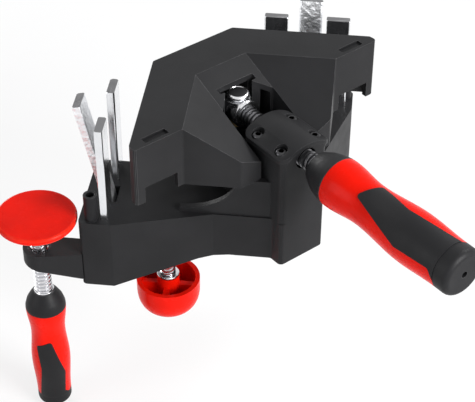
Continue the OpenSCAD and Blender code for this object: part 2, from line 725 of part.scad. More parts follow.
// outline of the grip inlay: slanted tip, waist on one side, flared where it meets the end cap
function grip_outline(half, from, to) = let (long = to - from) [[0.05 * half, from],
    [-1.04 * half, from + 0.1 * long], [-half, from + 0.24 * long], [-0.88 * half, from + 0.48 * long],
    [-1.12 * half, to], [-1.12 * half, to + half], [1.1 * half, to + half], [1.1 * half, to],
    [0.8 * half, to - 0.06 * long], [0.94 * half, from + 0.57 * long]];
module grip_prism(half, from, to, turn) for (a = [turn, turn + 180]) rotate([0, 0, a]) rotate([90, 0, 90])
    linear_extrude(2 * half + 20) polygon(rounded(grip_outline(half, from, to), grip_round));
module grips(hs, rs, half, from, to, turn) intersection() {
    turned(hs, rs, from, to, rs[2] - grip_t - 2, grip_proud);
    grip_prism(half, from, to, turn);
    difference() {
        cylinder(r = far, h = far);
        turned(hs, rs, from - 1, to, 0, -grip_t);
    }
}
module end_cap(r, len, round_r, hole) difference() {
    rotate_extrude() polygon(concat([[0, 0], [r, 0]],
        [for (a = [0 : 15 : 90]) [r - round_r * (1 - cos(a)), len - round_r * (1 - sin(a))]], [[0, len]]));
    translate([0, 0, len - end_hole_deep]) cylinder(r = hole, h = far);
}
module main_spindle() color(steel) {
    along_main(thread_from) cylinder(r = thread_r, h = handle_s - thread_from);
    along_main(eye_bore_from + 0.3) cylinder(r = journal_r, h = thread_from - eye_bore_from - 0.3);
    along_main(handle_s) cylinder(r = tang_r, h = grip_to);
}
module main_collar() color(black) along_main(handle_s) turned(main_hs, main_rs, 0, collar_len, tang_r);
module main_grips() color(black) along_main(handle_s)
    grips(main_hs, main_rs, grip_half, grip_from, grip_to, grip_turn);
module main_handle() color(red) along_main(handle_s) difference() {
    turned(main_hs, main_rs, collar_len, grip_to, tang_r);
    grips(main_hs, main_rs, grip_half, grip_from, grip_to, grip_turn);
}
module main_end_cap() color(black) along_main(handle_s + grip_to)
    end_cap(handle_end_r, end_len, end_round, end_hole_r);

module pressure_pad() color(red) at_pad(pad_top - pad_h) difference() {
    rotate_extrude() polygon([[0, 0], [pad_hub_r, 0], [pad_hub_r + 1, 3],
        [pad_r - pad_edge_low, pad_h - pad_rim], [pad_r, pad_h - pad_rim + pad_edge_low],
        [pad_r, pad_h - pad_edge], [pad_r - pad_edge, pad_h], [0, pad_h]]);
    translate([0, 0, pad_h - ball_deep]) sphere(r = ball_r + run);
    translate([0, 0, -1]) cylinder(r = ball_r + run, h = pad_h - ball_deep + 1);
}
module pad_ring() color(steel) at_pad(pad_top - pad_h - pad_ring_t) difference() {
    cylinder(r = pad_hub_r, h = pad_ring_t);
    translate([0, 0, -1]) cylinder(r = ball_r - 0.8, h = pad_ring_t + 2);
}
module pad_handle_at() at_pad(pad_handle_z) mirror([0, 0, 1]) children();
module pad_spindle() color(steel) {
    at_pad(pad_top - ball_deep) sphere(r = ball_r);
    at_pad(pad_top - pad_h - pad_ring_t - 2) cylinder(r = ball_neck_r, h = pad_h - ball_deep + pad_ring_t + 2);
    at_pad(pad_handle_z) cylinder(r = pad_thread_r, h = pad_top - pad_h - pad_ring_t - 2 - pad_handle_z);
    pad_handle_at() cylinder(r = pad_tang_r, h = pad_grip_to);
}
module pad_collar() color(black) pad_handle_at() turned(pad_hs, pad_rs, 0, pad_collar_len, pad_tang_r);
module pad_grips() color(black) pad_handle_at()
    grips(pad_hs, pad_rs, pad_grip_half, pad_grip_from, pad_grip_to, pad_grip_turn);
module pad_handle() color(red) pad_handle_at() difference() {
    turned(pad_hs, pad_rs, pad_collar_len, pad_grip_to, pad_tang_r);
    grips(pad_hs, pad_rs, pad_grip_half, pad_grip_from, pad_grip_to, pad_grip_turn);
}
module pad_end_cap() color(black) pad_handle_at() translate([0, 0, pad_grip_to])
    end_cap(pad_end_r, pad_end_len, pad_end_round, end_hole_r);

module knob_washer() color(steel) at_knob(knob_hub_z + 0.1) difference() {
    cylinder(r = knob_washer_r, h = knob_washer_t);
    translate([0, 0, -1]) cylinder(r = stud_r + run, h = knob_washer_t + 2);
}
// bowl profile: straight wall, then a quarter ellipse to the bottom
function bowl(r, low) = [for (a = [0 : 7.5 : 90]) let (wall_z = knob_rim_z - knob_straight)
    [r * cos(a), wall_z - (wall_z - low) * sin(a)]];
module lock_knob() color(red) at_knob(0) difference() {
    union() {
        rotate_extrude() polygon(concat([[knob_r, knob_rim_z]], bowl(knob_r, knob_low),
            backwards(bowl(knob_r - knob_wall, knob_floor)), [[knob_r - knob_wall, knob_rim_z]]));
        translate([0, 0, knob_floor - knob_wall / 2])
            cylinder(r = knob_hub_r, h = knob_hub_z - knob_floor + knob_wall / 2);
        intersection() {
            for (a = [0, 90]) rotate([0, 0, a]) translate([-knob_r, -knob_rib / 2, knob_low])
                cube([2 * knob_r, knob_rib, knob_rim_z - knob_rib_low - knob_low]);
            rotate_extrude() polygon(concat([[0, knob_rim_z], [knob_r - knob_wall / 2, knob_rim_z]],
                bowl(knob_r - knob_wall / 2, knob_floor - knob_wall / 2)));
        }
    }
    translate([0, 0, knob_floor]) cylinder(r = stud_r, h = far);
}
module knob_stud() color(steel) at_knob(knob_floor) cylinder(r = stud_r, h = stud_top - knob_floor);

base_frame();
nut_cap();
cap_screws();
spindle_nut();
front_bar_left();
rear_bar_left();
front_bar_right();
rear_bar_right();
bar_pin_left();
bar_pin_right();
post_left();
post_right();
lug_bush();
knob_bush();
swivel_eye();
swivel_pin();
swivel_washer();
pin_clip();
jaw_hood();
jaw_bush();
main_spindle();
main_collar();
main_handle();
main_grips();
main_end_cap();
tilt_bar_left();
tilt_bar_right();
pressure_pad();
pad_ring();
pad_spindle();
pad_collar();
pad_handle();
pad_grips();
pad_end_cap();
knob_washer();
lock_knob();
knob_stud();
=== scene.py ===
"""Looks of the corner clamp: finishes, rounded edges, threads, studio and camera.

Metres, in the frame of the CAD part. Pieces that stand for a CAD node start from its solid.
"""
import json
import math

import bmesh
import bpy
from mathutils import Matrix, Vector


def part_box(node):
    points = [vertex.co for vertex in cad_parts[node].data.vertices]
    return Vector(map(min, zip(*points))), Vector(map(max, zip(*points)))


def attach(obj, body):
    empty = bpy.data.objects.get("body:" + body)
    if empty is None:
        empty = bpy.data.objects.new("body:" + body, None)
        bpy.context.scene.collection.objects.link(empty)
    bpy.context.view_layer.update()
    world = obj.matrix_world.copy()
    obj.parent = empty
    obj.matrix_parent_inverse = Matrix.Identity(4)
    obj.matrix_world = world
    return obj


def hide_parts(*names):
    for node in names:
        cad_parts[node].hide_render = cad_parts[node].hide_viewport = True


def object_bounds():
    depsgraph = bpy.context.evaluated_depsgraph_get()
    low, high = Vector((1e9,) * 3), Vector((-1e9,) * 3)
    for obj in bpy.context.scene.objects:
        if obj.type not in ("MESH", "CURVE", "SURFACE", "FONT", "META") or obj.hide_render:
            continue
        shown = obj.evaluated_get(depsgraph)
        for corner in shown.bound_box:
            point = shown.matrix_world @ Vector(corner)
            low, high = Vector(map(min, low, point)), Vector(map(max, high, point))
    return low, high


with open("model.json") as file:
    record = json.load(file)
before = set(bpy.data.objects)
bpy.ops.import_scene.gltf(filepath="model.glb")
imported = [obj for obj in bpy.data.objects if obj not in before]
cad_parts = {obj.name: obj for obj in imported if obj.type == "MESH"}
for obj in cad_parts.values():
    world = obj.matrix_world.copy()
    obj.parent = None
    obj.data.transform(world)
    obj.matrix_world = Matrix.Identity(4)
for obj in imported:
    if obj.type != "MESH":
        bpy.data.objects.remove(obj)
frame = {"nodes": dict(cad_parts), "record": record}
cad_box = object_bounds()

# Metres in a millimetre, and the turn from the frame's axes to the jaw's diagonal
MM = 0.001
DIAGONAL = Matrix.Rotation(math.radians(-45), 4, "Z")

# Main spindle and its collar: sizes that the CAD solids don't give, in millimetres
PITCH = 3.0
THREAD_R = 6.0
THREAD_DEPTH = 1.2
TANG_R = 4.5
JOURNAL_R = 5.0
EYE_GAP = 0.5
COLLAR_GAP = 0.2
COLLAR_BACK = 3.0
COLLAR_REACH = 12.0

# Form of all threads, in shares of the pitch
CREST_END = 0.33
ROOT_START = 0.46
ROOT_END = 0.87

# Support spindle with its ball and neck
PAD_THREAD_R = 5.6
PAD_THREAD_DEPTH = 1.1
PAD_TANG_R = 4.0
PAD_NECK = 2.0
BALL_R = 6.0

# Hand knob: stud, washer and the fuller belly, which fades out towards the hub
STUD_R = 5.0
STUD_DEPTH = 0.8
KNOB_WASHER_R = 7.3
KNOB_BOWL = 20.0
KNOB_FULL = 2.8
KNOB_DEEPEST = 0.97
KNOB_HUB_R = 8.5
KNOB_FADE = 4.5

# Swivel pin, and the nut cap with its screws and top plate
PIN_R = 4.5
SCREW_R = 2.2
SCREW_HEAD_R = 3.7
SCREW_HEAD_T = 2.6
SOCKET_R = 1.9
SOCKET_DEEP = 1.6
SOCKET_RIM = 0.15
CAP_ARCH = 29.0
CAP_ROUND = 5.0
CAP_PLATE = 3.0
CAP_LIP = 0.8
CAP_RAISE = 0.1
CAP_EDGE_R = 0.5
CAP_EDGE_SHARP = 40.0
CAP_FACING = 0.5
CAP_NEAR = 0.05
CAP_RIM = 0.2

# Bars and the slots of the roof
BAR_ROUND = 1.6
BAR_EDGE = 25.0
SAWN_DEPTH = 3.0
SAWN_FACING = 0.9
ROOF_SLOT_S = 92.6
ROOF_SLOT_T = 67.8
ROOF_SLOT_LEN = 16.7
ROOF_SLOT_W = 5.0
ROOF_SLOT_DEEP = 1.6
TRAY_WALL = 0.15
TRAY_GAP = 0.1
TRAY_LIFT = 0.02

# Meshes: welding distances in metres, angles in degrees
WELD = 2e-6
FINE_WELD = 1e-7
FLAT_ANGLE = 0.3
SHARP_EDGE = 14.0
END_CAP_SHARP = 35.0
SMOOTH_CAST = 40.0
SMOOTH_TURNED = 32.0
SMOOTH_THREAD = 30.0
FLATS_WEIGHT = 80

# Finishes: noise scales per metre, and how far colour, gloss and relief vary
NOISE_LOW = 0.3
NOISE_HIGH = 0.7
FLOW_SCALE = 35.0
FLOW_CHANGE = 0.12
# Patches of the painted highlight on rounded edges: noise scale and least share
HIGHLIGHT_PATCH_SCALE = 160.0
HIGHLIGHT_PATCH_LEAST = 0.3
GLOSS_SCALE = 90.0
GLOSS_DOWN = 0.05
GLOSS_UP = 0.06
GRAIN_SCALE = 2600.0
GRAIN_DEPTH = 0.0002
CLOUD_SCALE = 120.0
CLOUD_CHANGE = 0.04
MARK_SCALE = 240.0
EVEN = (1, 1, 1)
DRAWN = (6, 6, 0.3)
SAWN_COLOR = (0.17, 0.17, 0.175)
SAWN_MATT = 0.35
DENT_SCALE = 330.0
DENT_STRENGTH = 1.0
DENT_DEPTH = 0.0009

# Camera fitted to the photo: degrees, millimetres and pixels
PHOTO_W = 475.0
SENSOR_W = 36.0
CAMERA_AZIMUTH = 6.424
CAMERA_ELEVATION = 39.205
CAMERA_ROLL = 0.226
CAMERA_AT = (137.809, -794.93, 577.714)
CAMERA_FOCAL_PX = 1463.125

# Studio: floor in millimetres below the part, then metres, shares of white and watts
FLOOR_DROP = 3.0
FLOOR_SIZE = 6.0
FLOOR_GREY = (0.86, 0.86, 0.86)
FLOOR_WHITE = 0.75
FLOOR_NEAR = 0.35
FLOOR_FAR = 0.9
SKY_COLOR = (0.80, 0.82, 0.86, 1)
SKY_LIGHT = 0.3
WHITE = (1, 1, 1, 1)
AIM = (0.06, -0.08, 0.0)
LAMPS = (
    ("key", (1.05, -0.75, 0.55), (0.6, 0.6), 25.0),
    ("rim", (0.70, 0.50, 0.85), (0.35, 0.35), 6.0),
    ("back", (-0.95, 1.05, 0.40), (0.7, 0.5), 10.0),
    ("left", (-1.0, -0.75, 0.45), (0.5, 0.9), 5.0),
)


# Frames of the screws, from the joints
def joint_place(name):
    """Place of a hinge, in metres."""
    row = next(j for j in frame["record"]["behaviour"]["joints"] if j["name"] == name)
    return Vector(row["pos_m"])


def upright(name):
    """Frame whose z axis is the upright line through a hinge."""
    at = joint_place(name)
    return Matrix.Translation((at.x, at.y, 0))


MAIN_AXES = Matrix.Translation((0, 0, joint_place("main_turn").z)) \
    @ DIAGONAL @ Matrix.Rotation(math.radians(90), 4, "Y")
PAD_AXES = upright("pad_turn")
KNOB_AXES = upright("knob_turn")
PIN_AXES = upright("jaw_float")


def span(node_name, axes):
    """Largest radius and the two ends of a CAD solid along a frame's z axis, in millimetres."""
    inverse = axes.inverted()
    points = [inverse @ v.co / MM for v in frame["nodes"][node_name].data.vertices]
    heights = [p.z for p in points]
    return max(math.hypot(p.x, p.y) for p in points), min(heights), max(heights)


# Materials: colour sockets of a Mix node, and the marks on rounded edges, which carry a painted highlight,
# and on sawn ends
MIX_A, MIX_B, MIX_OUT = 6, 7, 2
EDGE_MARK = "edge"
END_MARK = "sawn"


def start_material(name, color, roughness, metallic=0.0):
    """New material with its node tree and shader."""
    mat = bpy.data.materials.new(name)
    mat.use_nodes = True
    shader = mat.node_tree.nodes["Principled BSDF"]
    shader.inputs["Base Color"].default_value = (*color, 1.0)
    shader.inputs["Roughness"].default_value = roughness
    shader.inputs["Metallic"].default_value = metallic
    mat.diffuse_color = (*color, 1.0)
    return mat, mat.node_tree, shader


def noise(tree, scale, detail=4.0, stretch=EVEN):
    """Noise over object coordinates, stretched along the axes as asked."""
    place = tree.nodes.new("ShaderNodeTexCoord")
    mapping = tree.nodes.new("ShaderNodeMapping")
    mapping.inputs["Scale"].default_value = stretch
    texture = tree.nodes.new("ShaderNodeTexNoise")
    texture.inputs["Scale"].default_value = scale
    texture.inputs["Detail"].default_value = detail
    tree.links.new(place.outputs["Object"], mapping.inputs["Vector"])
    tree.links.new(mapping.outputs["Vector"], texture.inputs["Vector"])
    return texture.outputs["Fac"]


def spread(tree, source, low, high):
    """A value that follows a noise between two limits."""
    ramp = tree.nodes.new("ShaderNodeMapRange")
    ramp.inputs["From Min"].default_value = NOISE_LOW
    ramp.inputs["From Max"].default_value = NOISE_HIGH
    ramp.inputs["To Min"].default_value = low
    ramp.inputs["To Max"].default_value = high
    tree.links.new(source, ramp.inputs["Value"])
    return ramp.outputs["Result"]


def grain(tree, shader, scale, strength, depth):
    """Fine surface relief."""
    bump = tree.nodes.new("ShaderNodeBump")
    bump.inputs["Strength"].default_value = strength
    bump.inputs["Distance"].default_value = depth
    tree.links.new(noise(tree, scale, 2.0), bump.inputs["Height"])
    tree.links.new(bump.outputs["Normal"], shader.inputs["Normal"])


def shades(tree, source, color, change):
    """Colour that drifts a little to both sides of the given one."""
    mix = tree.nodes.new("ShaderNodeMix")
    mix.data_type = "RGBA"
    mix.inputs[MIX_A].default_value = (*[c * (1 - change) for c in color], 1.0)
    mix.inputs[MIX_B].default_value = (*[c * (1 + change) for c in color], 1.0)
    tree.links.new(spread(tree, source, 0.0, 1.0), mix.inputs["Factor"])
    return mix.outputs[MIX_OUT]


def paint_edge_highlight(tree, shader, under, color):
    """Painted highlight: rounded edges turned to a paler colour in patches."""
    edge = tree.nodes.new("ShaderNodeAttribute")
    edge.attribute_name = EDGE_MARK
    patches = tree.nodes.new("ShaderNodeMath")
    patches.operation = "MULTIPLY"
    tree.links.new(edge.outputs["Fac"], patches.inputs[0])
    tree.links.new(spread(tree, noise(tree, HIGHLIGHT_PATCH_SCALE), HIGHLIGHT_PATCH_LEAST, 1.0), patches.inputs[1])
    mix = tree.nodes.new("ShaderNodeMix")
    mix.data_type = "RGBA"
    mix.inputs[MIX_B].default_value = (*color, 1.0)
    tree.links.new(patches.outputs["Value"], mix.inputs["Factor"])
    tree.links.new(under, mix.inputs[MIX_A])
    tree.links.new(mix.outputs[MIX_OUT], shader.inputs["Base Color"])


def moulded(name, color, edge_highlight_color, roughness, sheen, grain_strength):
    """Moulded plastic: slow flow marks in colour and gloss, a painted highlight in patches on the rounded
    edges and a fine eroded grain.
    """
    mat, tree, shader = start_material(name, color, roughness)
    shader.inputs["Specular IOR Level"].default_value = sheen
    flow = shades(tree, noise(tree, FLOW_SCALE), color, FLOW_CHANGE)
    paint_edge_highlight(tree, shader, flow, edge_highlight_color)
    gloss = spread(tree, noise(tree, GLOSS_SCALE), roughness - GLOSS_DOWN, roughness + GLOSS_UP)
    tree.links.new(gloss, shader.inputs["Roughness"])
    grain(tree, shader, GRAIN_SCALE, grain_strength, GRAIN_DEPTH)
    return mat


def plated(name, color, low, high, stretch=EVEN):
    """Bare metal with faint drawing marks and cloudy patches, and matt grey on sawn ends."""
    mat, tree, shader = start_material(name, color, low, 1.0)
    sheet = shades(tree, noise(tree, CLOUD_SCALE), color, CLOUD_CHANGE)
    marks = spread(tree, noise(tree, MARK_SCALE, 5.0, stretch), low, high)
    end = tree.nodes.new("ShaderNodeAttribute")
    end.attribute_name = END_MARK
    tint = tree.nodes.new("ShaderNodeMix")
    tint.data_type = "RGBA"
    tint.inputs[MIX_B].default_value = (*SAWN_COLOR, 1.0)
    tree.links.new(end.outputs["Fac"], tint.inputs["Factor"])
    tree.links.new(sheet, tint.inputs[MIX_A])
    tree.links.new(tint.outputs[MIX_OUT], shader.inputs["Base Color"])
    matt = tree.nodes.new("ShaderNodeMath")
    matt.operation = "MULTIPLY_ADD"
    matt.inputs[1].default_value = SAWN_MATT
    tree.links.new(end.outputs["Fac"], matt.inputs[0])
    tree.links.new(marks, matt.inputs[2])
    tree.links.new(matt.outputs["Value"], shader.inputs["Roughness"])
    return mat


def dented(mat):
    """Adds shallow dents to a finish."""
    tree = mat.node_tree
    grain(tree, tree.nodes["Principled BSDF"], DENT_SCALE, DENT_STRENGTH, DENT_DEPTH)
    return mat


# The second colour of a moulded finish is the painted highlight on its rounded edges
FINISH = {
    "body_plastic": moulded("body_plastic", (0.018, 0.018, 0.019), (0.13, 0.13, 0.133), 0.42, 0.10, 0.12),
    "black_grip": moulded("black_grip", (0.012, 0.012, 0.013), (0.05, 0.05, 0.052), 0.48, 0.14, 0.2),
    "red_plastic": moulded("red_plastic", (0.76, 0.008, 0.002), (0.80, 0.03, 0.015), 0.26, 0.07, 0.03),
    "bar_chrome": plated("bar_chrome", (0.80, 0.81, 0.83), 0.14, 0.26, DRAWN),
    "spindle_steel": plated("spindle_steel", (0.72, 0.72, 0.74), 0.12, 0.26),
    "black_steel": plated("black_steel", (0.055, 0.055, 0.058), 0.22, 0.36),
    "insert_brass": plated("insert_brass", (0.66, 0.50, 0.22), 0.25, 0.4),
    "worked_steel": plated("worked_steel", (0.17, 0.17, 0.178), 0.26, 0.40),
    "bar_dented": dented(plated("bar_dented", (0.84, 0.85, 0.87), 0.36, 0.54)),
}
SLOT_OF = {row["node"]: row["material_slot"] for row in frame["record"]["subparts"]}
# Nodes shown in another slot than the record's, and in a finish that isn't a slot
SHOWN_AS = {"lug_bush": "black_steel"}
FINISH_OF = {"tilt_bar_left": "bar_dented", "tilt_bar_right": "bar_dented"}
for node_name, node in frame["nodes"].items():
    node.data.materials.clear()
    node.data.materials.append(FINISH[SLOT_OF[node_name]])


# Building helpers
def new_piece(name, shape, body, slot_name, finish=None):
    """Turns a bmesh into an object at the origin that rides on a body."""
    bmesh.ops.recalc_face_normals(shape, faces=shape.faces)
    mesh = bpy.data.meshes.new(name)
    shape.to_mesh(mesh)
    shape.free()
    piece = bpy.data.objects.new(name, mesh)
    bpy.context.scene.collection.objects.link(piece)
    mesh.materials.append(FINISH[finish or slot_name])
    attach(piece, body)
    return piece


def smooth_by_angle(shape, limit):
    """Smooth faces, with the edges above the limit kept sharp."""
    for face in shape.faces:
        face.smooth = True
    for edge in shape.edges:
        edge.smooth = len(edge.link_faces) == 2 and edge.calc_face_angle(0.0) < limit


def body_of(node_name):
    """Name of the body that a CAD node belongs to."""
    for body, members in frame["record"]["behaviour"]["bodies"].items():
        if node_name in members:
            return body
    raise KeyError(node_name)


def solid_of(node_name):
    """Merged copy of a CAD solid, with each flat joined to one face."""
    shape = bmesh.new()
    shape.from_mesh(frame["nodes"][node_name].data)
    bmesh.ops.remove_doubles(shape, verts=shape.verts, dist=WELD)
    bmesh.ops.dissolve_limit(shape, angle_limit=math.radians(FLAT_ANGLE), verts=shape.verts,
                             edges=shape.edges)
    return shape


def round_edges(shape, radius, segments, shortest, sharp):
    """Rounds the sharp edges that are longer than the shortest length, and marks the new faces."""
    corners = [e for e in shape.edges if len(e.link_faces) == 2 and e.calc_length() > shortest * MM
               and abs(e.calc_face_angle(0.0)) > math.radians(sharp)]
    mark = shape.faces.layers.float.new(EDGE_MARK)
    rounded = bmesh.ops.bevel(shape, geom=corners, offset=radius * MM, offset_type="OFFSET",
                              segments=segments, profile=0.5, affect="EDGES", clamp_overlap=True,
                              material=-1)
    for face in rounded["faces"]:
        face[mark] = 1.0


def mark_sawn_end(shape):
    """Marks the faces at the top end of a bar."""
    sawn = shape.faces.layers.float.new(END_MARK)
    top = max(v.co.z for v in shape.verts)
    for face in shape.faces:
        high = face.calc_center_median().z > top - SAWN_DEPTH * MM
        face[sawn] = float(face.normal.z > SAWN_FACING and high)


def soften(node_name, radius, segments=2, shortest=0.0, sharp=SHARP_EDGE):
    """Copy of a CAD solid with its sharp edges rounded and its flats kept flat, shown in its place.

    Edges that are no longer than the shortest length, in millimetres, stay as they are.
    """
    shape = solid_of(node_name)
    round_edges(shape, radius, segments, shortest, sharp)
    if "_bar_" in node_name:
        mark_sawn_end(shape)
    bmesh.ops.recalc_face_normals(shape, faces=shape.faces)
    smooth_by_angle(shape, math.radians(SMOOTH_CAST))
    slot_name = SHOWN_AS.get(node_name, SLOT_OF[node_name])
    piece = new_piece(node_name + "_soft", shape, body_of(node_name), slot_name, FINISH_OF.get(node_name))
    flats = piece.modifiers.new("flats", "WEIGHTED_NORMAL")
    flats.weight = FLATS_WEIGHT
    flats.keep_sharp = True
    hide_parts(node_name)


def turned(profile, axes, around=96):
    """Spins a profile of (radius, height) millimetres about the z axis of the given frame."""
    shape = bmesh.new()
    points = [shape.verts.new(Vector((r, 0, h)) * MM) for r, h in profile]
    edges = [shape.edges.new(pair) for pair in zip(points, points[1:])]
    bmesh.ops.spin(shape, geom=points + edges, cent=(0, 0, 0), axis=(0, 0, 1), angle=math.tau,
                   steps=around, use_merge=True)
    bmesh.ops.remove_doubles(shape, verts=shape.verts, dist=FINE_WELD)
    shape.transform(axes)
    bmesh.ops.recalc_face_normals(shape, faces=shape.faces)
    smooth_by_angle(shape, math.radians(SMOOTH_TURNED))
    return shape


def rod(radius, low, high, axes):
    """Plain round rod between two heights."""
    return turned([(0, low), (radius, low), (radius, high), (0, high)], axes, 64)


def merge(shape, other):
    """Adds one bmesh to another."""
    mesh = bpy.data.meshes.new("merge")
    other.to_mesh(mesh)
    other.free()
    shape.from_mesh(mesh)
    bpy.data.meshes.remove(mesh)
    return shape


def screw_thread(radius, depth, low, high, axes, around=64):
    """Trapezoidal thread: a screwing spin of its cut form, trimmed square at both ends."""
    root = radius - depth
    form = ((0.0, radius), (CREST_END, radius), (ROOT_START, root), (ROOT_END, root))
    turns = math.ceil((high - low) / PITCH) + 2
    shape = bmesh.new()
    points = []
    for turn in range(turns):
        foot = low + PITCH * (turn - 1.5)
        points += [shape.verts.new(Vector((r, 0, foot + PITCH * part)) * MM) for part, r in form]
    edges = [shape.edges.new(pair) for pair in zip(points, points[1:])]
    bmesh.ops.spin(shape, geom=points + edges, cent=(0, 0, 0), axis=(0, 0, 1), angle=math.tau,
                   dvec=(0, 0, PITCH * MM / around), steps=around)
    bmesh.ops.remove_doubles(shape, verts=shape.verts, dist=WELD)
    for height, outward in ((low, -1), (high, 1)):
        everything = shape.verts[:] + shape.edges[:] + shape.faces[:]
        bmesh.ops.bisect_plane(shape, geom=everything, dist=FINE_WELD, plane_co=(0, 0, height * MM),
                               plane_no=(0, 0, outward), clear_outer=True)
    bmesh.ops.holes_fill(shape, edges=shape.edges, sides=0)
    bmesh.ops.recalc_face_normals(shape, faces=shape.faces)
    shape.transform(axes)
    smooth_by_angle(shape, math.radians(SMOOTH_THREAD))
    return shape


# Moulded and plain pieces with rounded edges
EDGE_RADIUS = {
    "base_frame": 0.7, "jaw_hood": 0.7, "nut_cap": 0.8,
    "post_left": 0.5, "post_right": 0.5,
    "swivel_eye": 0.5, "swivel_washer": 0.25, "pressure_pad": 2.0, "lock_knob": 0.7,
    "lug_bush": 0.4, "main_collar": 0.6, "pad_collar": 0.5,
    "main_handle": 0.3, "pad_handle": 0.3, "main_grips": 0.3, "pad_grips": 0.3,
    "main_end_cap": 0.3, "pad_end_cap": 0.3,
}
for node_name, radius in EDGE_RADIUS.items():
    facets = 4 if radius > 1 else 2
    soften(node_name, radius, facets, sharp=END_CAP_SHARP if "end_cap" in node_name else SHARP_EDGE)
for node_name in SLOT_OF:
    if "_bar_" in node_name:
        soften(node_name, BAR_ROUND, 6, BAR_EDGE)


def reshape(piece, axes, move):
    """Moves the points of a piece by a rule on radius and height along a frame's z axis, in millimetres."""
    inverse = axes.inverted()
    for vert in piece.data.vertices:
        point = inverse @ vert.co / MM
        scale, rise = move(math.hypot(point.x, point.y), point.z)
        vert.co = axes @ (Vector((point.x * scale, point.y * scale, point.z + rise)) * MM)
    piece.data.update()


# Knob with a fuller belly than a plain bowl
def full_knob():
    _, low, _ = span("lock_knob", KNOB_AXES)
    bowl_top = low + KNOB_BOWL

    def move(radius, height):
        depth = min(max((bowl_top - height) / KNOB_BOWL, 0.0), KNOB_DEEPEST)
        fuller = (1 - depth ** KNOB_FULL) ** (1 / KNOB_FULL) / math.sqrt(1 - depth * depth)
        share = min(max((radius - KNOB_HUB_R) / KNOB_FADE, 0.0), 1.0)
        return 1 + (fuller - 1) * share, 0.0

    reshape(bpy.data.objects["lock_knob_soft"], KNOB_AXES, move)


# Collar set back from the cap, so that more thread shows
def set_back_collar():
    _, start, _ = span("main_collar", MAIN_AXES)

    def move(_, height):
        return 1.0, COLLAR_BACK * max(0.0, 1 - (height - start) / COLLAR_REACH)

    reshape(bpy.data.objects["main_collar_soft"], MAIN_AXES, move)


full_knob()
set_back_collar()


# Main spindle: thread from the swivel eye to the handle, with journal and tang
def main_spindle():
    _, back_end, _ = span("main_spindle", MAIN_AXES)
    _, _, eye_end = span("swivel_eye", MAIN_AXES)
    _, handle_start, _ = span("main_collar", MAIN_AXES)
    _, tang_end, _ = span("main_end_cap", MAIN_AXES)
    thread_start = eye_end + EYE_GAP
    handle_start += COLLAR_BACK + COLLAR_GAP
    shape = screw_thread(THREAD_R, THREAD_DEPTH, thread_start, handle_start, MAIN_AXES)
    merge(shape, rod(JOURNAL_R, back_end, thread_start, MAIN_AXES))
    merge(shape, rod(TANG_R, handle_start, tang_end, MAIN_AXES))
    piece = new_piece("main_thread", shape, "main_screw", SLOT_OF["main_spindle"], "worked_steel")
    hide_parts("main_spindle")


# Support spindle: ball, neck, thread and tang
def pad_spindle():
    _, _, ball_top = span("pad_spindle", PAD_AXES)
    _, thread_top, _ = span("pad_ring", PAD_AXES)
    _, _, handle_top = span("pad_collar", PAD_AXES)
    _, _, tang_end = span("pad_end_cap", PAD_AXES)
    thread_top -= PAD_NECK
    shape = screw_thread(PAD_THREAD_R, PAD_THREAD_DEPTH, handle_top, thread_top, PAD_AXES)
    ball = [(BALL_R * math.cos(math.radians(a)), ball_top - BALL_R + BALL_R * math.sin(math.radians(a)))
            for a in range(-48, 91, 6)]
    merge(shape, turned([(0, thread_top), (PAD_TANG_R, thread_top)] + ball, PAD_AXES, 64))
    merge(shape, rod(PAD_TANG_R, tang_end, handle_top, PAD_AXES))
    piece = new_piece("pad_thread", shape, "pad_screw", SLOT_OF["pad_spindle"])
    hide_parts("pad_spindle")


# Bright ferrule in the mouth of the support handle
def pad_ferrule():
    _, _, mouth = span("pad_collar", PAD_AXES)
    inner = PAD_THREAD_R + 0.1
    outer = PAD_THREAD_R + 0.9
    profile = [(inner, mouth - 1), (outer, mouth - 1), (outer, mouth + 0.5), (outer - 0.3, mouth + 0.8),
               (inner, mouth + 0.8), (inner, mouth - 1)]
    new_piece("pad_ferrule", turned(profile, PAD_AXES, 64), "pad_screw", "spindle_steel")


# Threaded stud of the knob
def knob_stud():
    _, low, high = span("knob_stud", KNOB_AXES)
    shape = screw_thread(STUD_R, STUD_DEPTH, low, high, KNOB_AXES)
    piece = new_piece("stud_thread", shape, "knob", SLOT_OF["knob_stud"])
    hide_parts("knob_stud")


# Washer between the knob and the leg
def knob_washer():
    _, low, high = span("knob_washer", KNOB_AXES)
    inner = STUD_R + 0.2
    outer = KNOB_WASHER_R
    profile = [(inner, low), (outer - 0.3, low), (outer, low + 0.3), (outer, high - 0.3),
               (outer - 0.3, high), (inner, high), (inner, low)]
    piece = new_piece("washer_turned", turned(profile, KNOB_AXES, 64), body_of("knob_washer"),
                      SLOT_OF["knob_washer"])
    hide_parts("knob_washer")


# Swivel pin: slightly domed head over a dark groove
def swivel_pin():
    head_r, low, top = span("swivel_pin", PIN_AXES)
    _, _, seat = span("swivel_washer", PIN_AXES)
    groove_r = PIN_R + 0.9
    head_low = seat + 1.3
    profile = [(0, low), (PIN_R - 0.6, low), (PIN_R, low + 0.6), (PIN_R, seat), (groove_r, seat),
               (groove_r, head_low), (head_r - 0.4, head_low), (head_r, head_low + 0.4),
               (head_r, top - 1.5), (head_r - 0.2, top - 0.9), (head_r - 0.7, top - 0.4),
               (head_r - 1.3, top - 0.2), (head_r - 1.6, top - 0.8), (0, top - 0.8)]
    piece = new_piece("pin_turned", turned(profile, PIN_AXES, 96), "swivel", "spindle_steel")
    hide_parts("swivel_pin")
    plug_r = head_r - 1.65
    plug = [(0, top - 0.9), (plug_r, top - 0.9), (plug_r, top - 0.5), (plug_r - 0.8, top - 0.2),
            (plug_r - 2.4, top), (0, top)]
    new_piece("pin_plug", turned(plug, PIN_AXES, 64), "swivel", "black_grip")


